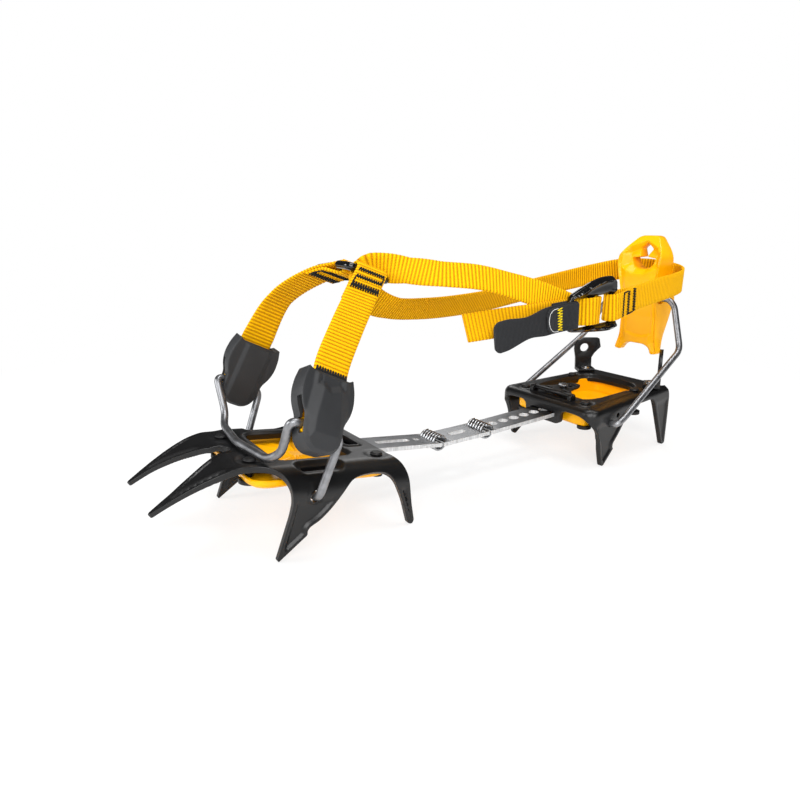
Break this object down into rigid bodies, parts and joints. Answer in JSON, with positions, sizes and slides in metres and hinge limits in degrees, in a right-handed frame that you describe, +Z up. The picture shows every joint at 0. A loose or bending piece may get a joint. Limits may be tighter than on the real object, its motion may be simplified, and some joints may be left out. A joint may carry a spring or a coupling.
{
  "type": "crampon",
  "caption": "Strap-on crampon with a folding, length-adjustable linking bar, anti-balling plates, wire bails at toe and heel, a moulded heel piece and a buckled webbing strap.",
  "frame": {"origin": "on the floor under the middle of the part's box, where the downward points stand", "axes": "+X from toe to heel, -Y to the side with the buckle, +Z up"},
  "size_m": [0.3694, 0.1087, 0.1401],
  "materials": {
    "black_steel": "satin black coating",
    "bar_steel": "satin grey",
    "wire_steel": "dark satin",
    "pin_steel": "bright",
    "yellow_plastic": "semi-gloss moulded",
    "keeper_plastic": "fine texture",
    "gloss_black": "polished",
    "black_plastic": "satin",
    "yellow_webbing": "ribbed weave",
    "grey_webbing": "plain weave"
  },
  "bodies": {
    "front_section": {"front_frame": "black_steel", "front_anti_balling_plate": "yellow_plastic", "front_plate_studs": "black_plastic", "bar_front": "bar_steel", "bar_end_rivet": "pin_steel", "front_hinge_coil": "bar_steel"},
    "front_bail": {"front_bail": "wire_steel", "strap_ring": "gloss_black", "near_toe_strap": "yellow_webbing", "far_toe_strap": "yellow_webbing"},
    "near_keeper": {"near_strap_keeper": "keeper_plastic"},
    "far_keeper": {"far_strap_keeper": "keeper_plastic"},
    "bar_middle": {"bar_middle": "bar_steel", "rear_hinge_coil": "bar_steel"},
    "bar_rear": {"bar_rear": "bar_steel"},
    "rear_section": {"rear_frame": "black_steel", "rear_anti_balling_plate": "yellow_plastic", "rear_plate_studs": "black_plastic", "near_heel_post": "black_steel", "far_heel_post": "black_steel", "heel_post_rivets": "pin_steel", "adjuster_hinge_pin": "pin_steel"},
    "adjuster_lever": {"adjuster_lever": "black_steel"},
    "adjuster_pin": {"adjuster_pin": "pin_steel"},
    "rear_bail": {"rear_bail": "wire_steel"},
    "heel_piece": {"heel_piece": "yellow_plastic", "ankle_strap": "yellow_webbing"},
    "buckle": {"buckle_frame": "gloss_black", "pull_tab": "grey_webbing"}
  },
  "joints": [
    {"name": "front_bail_swing", "type": "hinge", "parent": "front_section", "child": "front_bail", "pos_m": [-0.11665, 0, 0.02732], "axis": [0, 1, 0], "range_deg": [0, 30], "deforming": ["ankle_strap"]},
    {"name": "near_keeper_rock", "type": "hinge", "parent": "front_bail", "child": "near_keeper", "pos_m": [-0.11735, -0.047, 0.061], "axis": [0.8998, 0, -0.4363], "range_deg": [-8, 8], "deforming": ["near_toe_strap"]},
    {"name": "far_keeper_rock", "type": "hinge", "parent": "front_bail", "child": "far_keeper", "pos_m": [-0.11735, 0.047, 0.061], "axis": [0.8998, 0, -0.4363], "range_deg": [-8, 8], "deforming": ["far_toe_strap"]},
    {"name": "bar_fold_front", "type": "hinge", "parent": "front_section", "child": "bar_middle", "pos_m": [-0.01886, 0, 0.02438], "axis": [0, -1, 0], "range_deg": [-5, 35], "deforming": ["ankle_strap"]},
    {"name": "bar_fold_rear", "type": "hinge", "parent": "bar_middle", "child": "bar_rear", "pos_m": [0.01713, 0, 0.02532], "axis": [0, -1, 0], "range_deg": [-5, 35], "deforming": ["ankle_strap"]},
    {"name": "length_adjust", "type": "slide", "parent": "bar_rear", "child": "rear_section", "axis": [0.9986, 0, 0.0523], "range_m": [-0.027, 0.009], "deforming": ["ankle_strap"]},
    {"name": "adjuster_release", "type": "hinge", "parent": "rear_section", "child": "adjuster_lever", "pos_m": [0.07889, 0, 0.04108], "axis": [0, -1, 0], "range_deg": [-15, 10]},
    {"name": "adjuster_pin_slide", "type": "slide", "parent": "rear_section", "child": "adjuster_pin", "axis": [-0.0523, 0, 0.9986], "range_m": [-0.00285, 0.0019]},
    {"name": "rear_bail_swing", "type": "hinge", "parent": "rear_section", "child": "rear_bail", "pos_m": [0.09012, 0, 0.02735], "axis": [0, -1, 0], "range_deg": [-15, 40], "deforming": ["ankle_strap"]},
    {"name": "heel_piece_rock", "type": "hinge", "parent": "rear_bail", "child": "heel_piece", "pos_m": [0.1614, 0, 0.0985], "axis": [0, -1, 0], "range_deg": [-15, 15], "deforming": ["ankle_strap"]},
    {"name": "buckle_tilt", "type": "hinge", "parent": "heel_piece", "child": "buckle", "pos_m": [0.06837, -0.047, 0.10191], "axis": [0, 0, 1], "range_deg": [0, 25], "deforming": ["ankle_strap"]}
  ],
  "couplings": [
    {"joint": "adjuster_pin_slide", "follows": "adjuster_release", "m_per_rad": 0.0105}
  ]
}
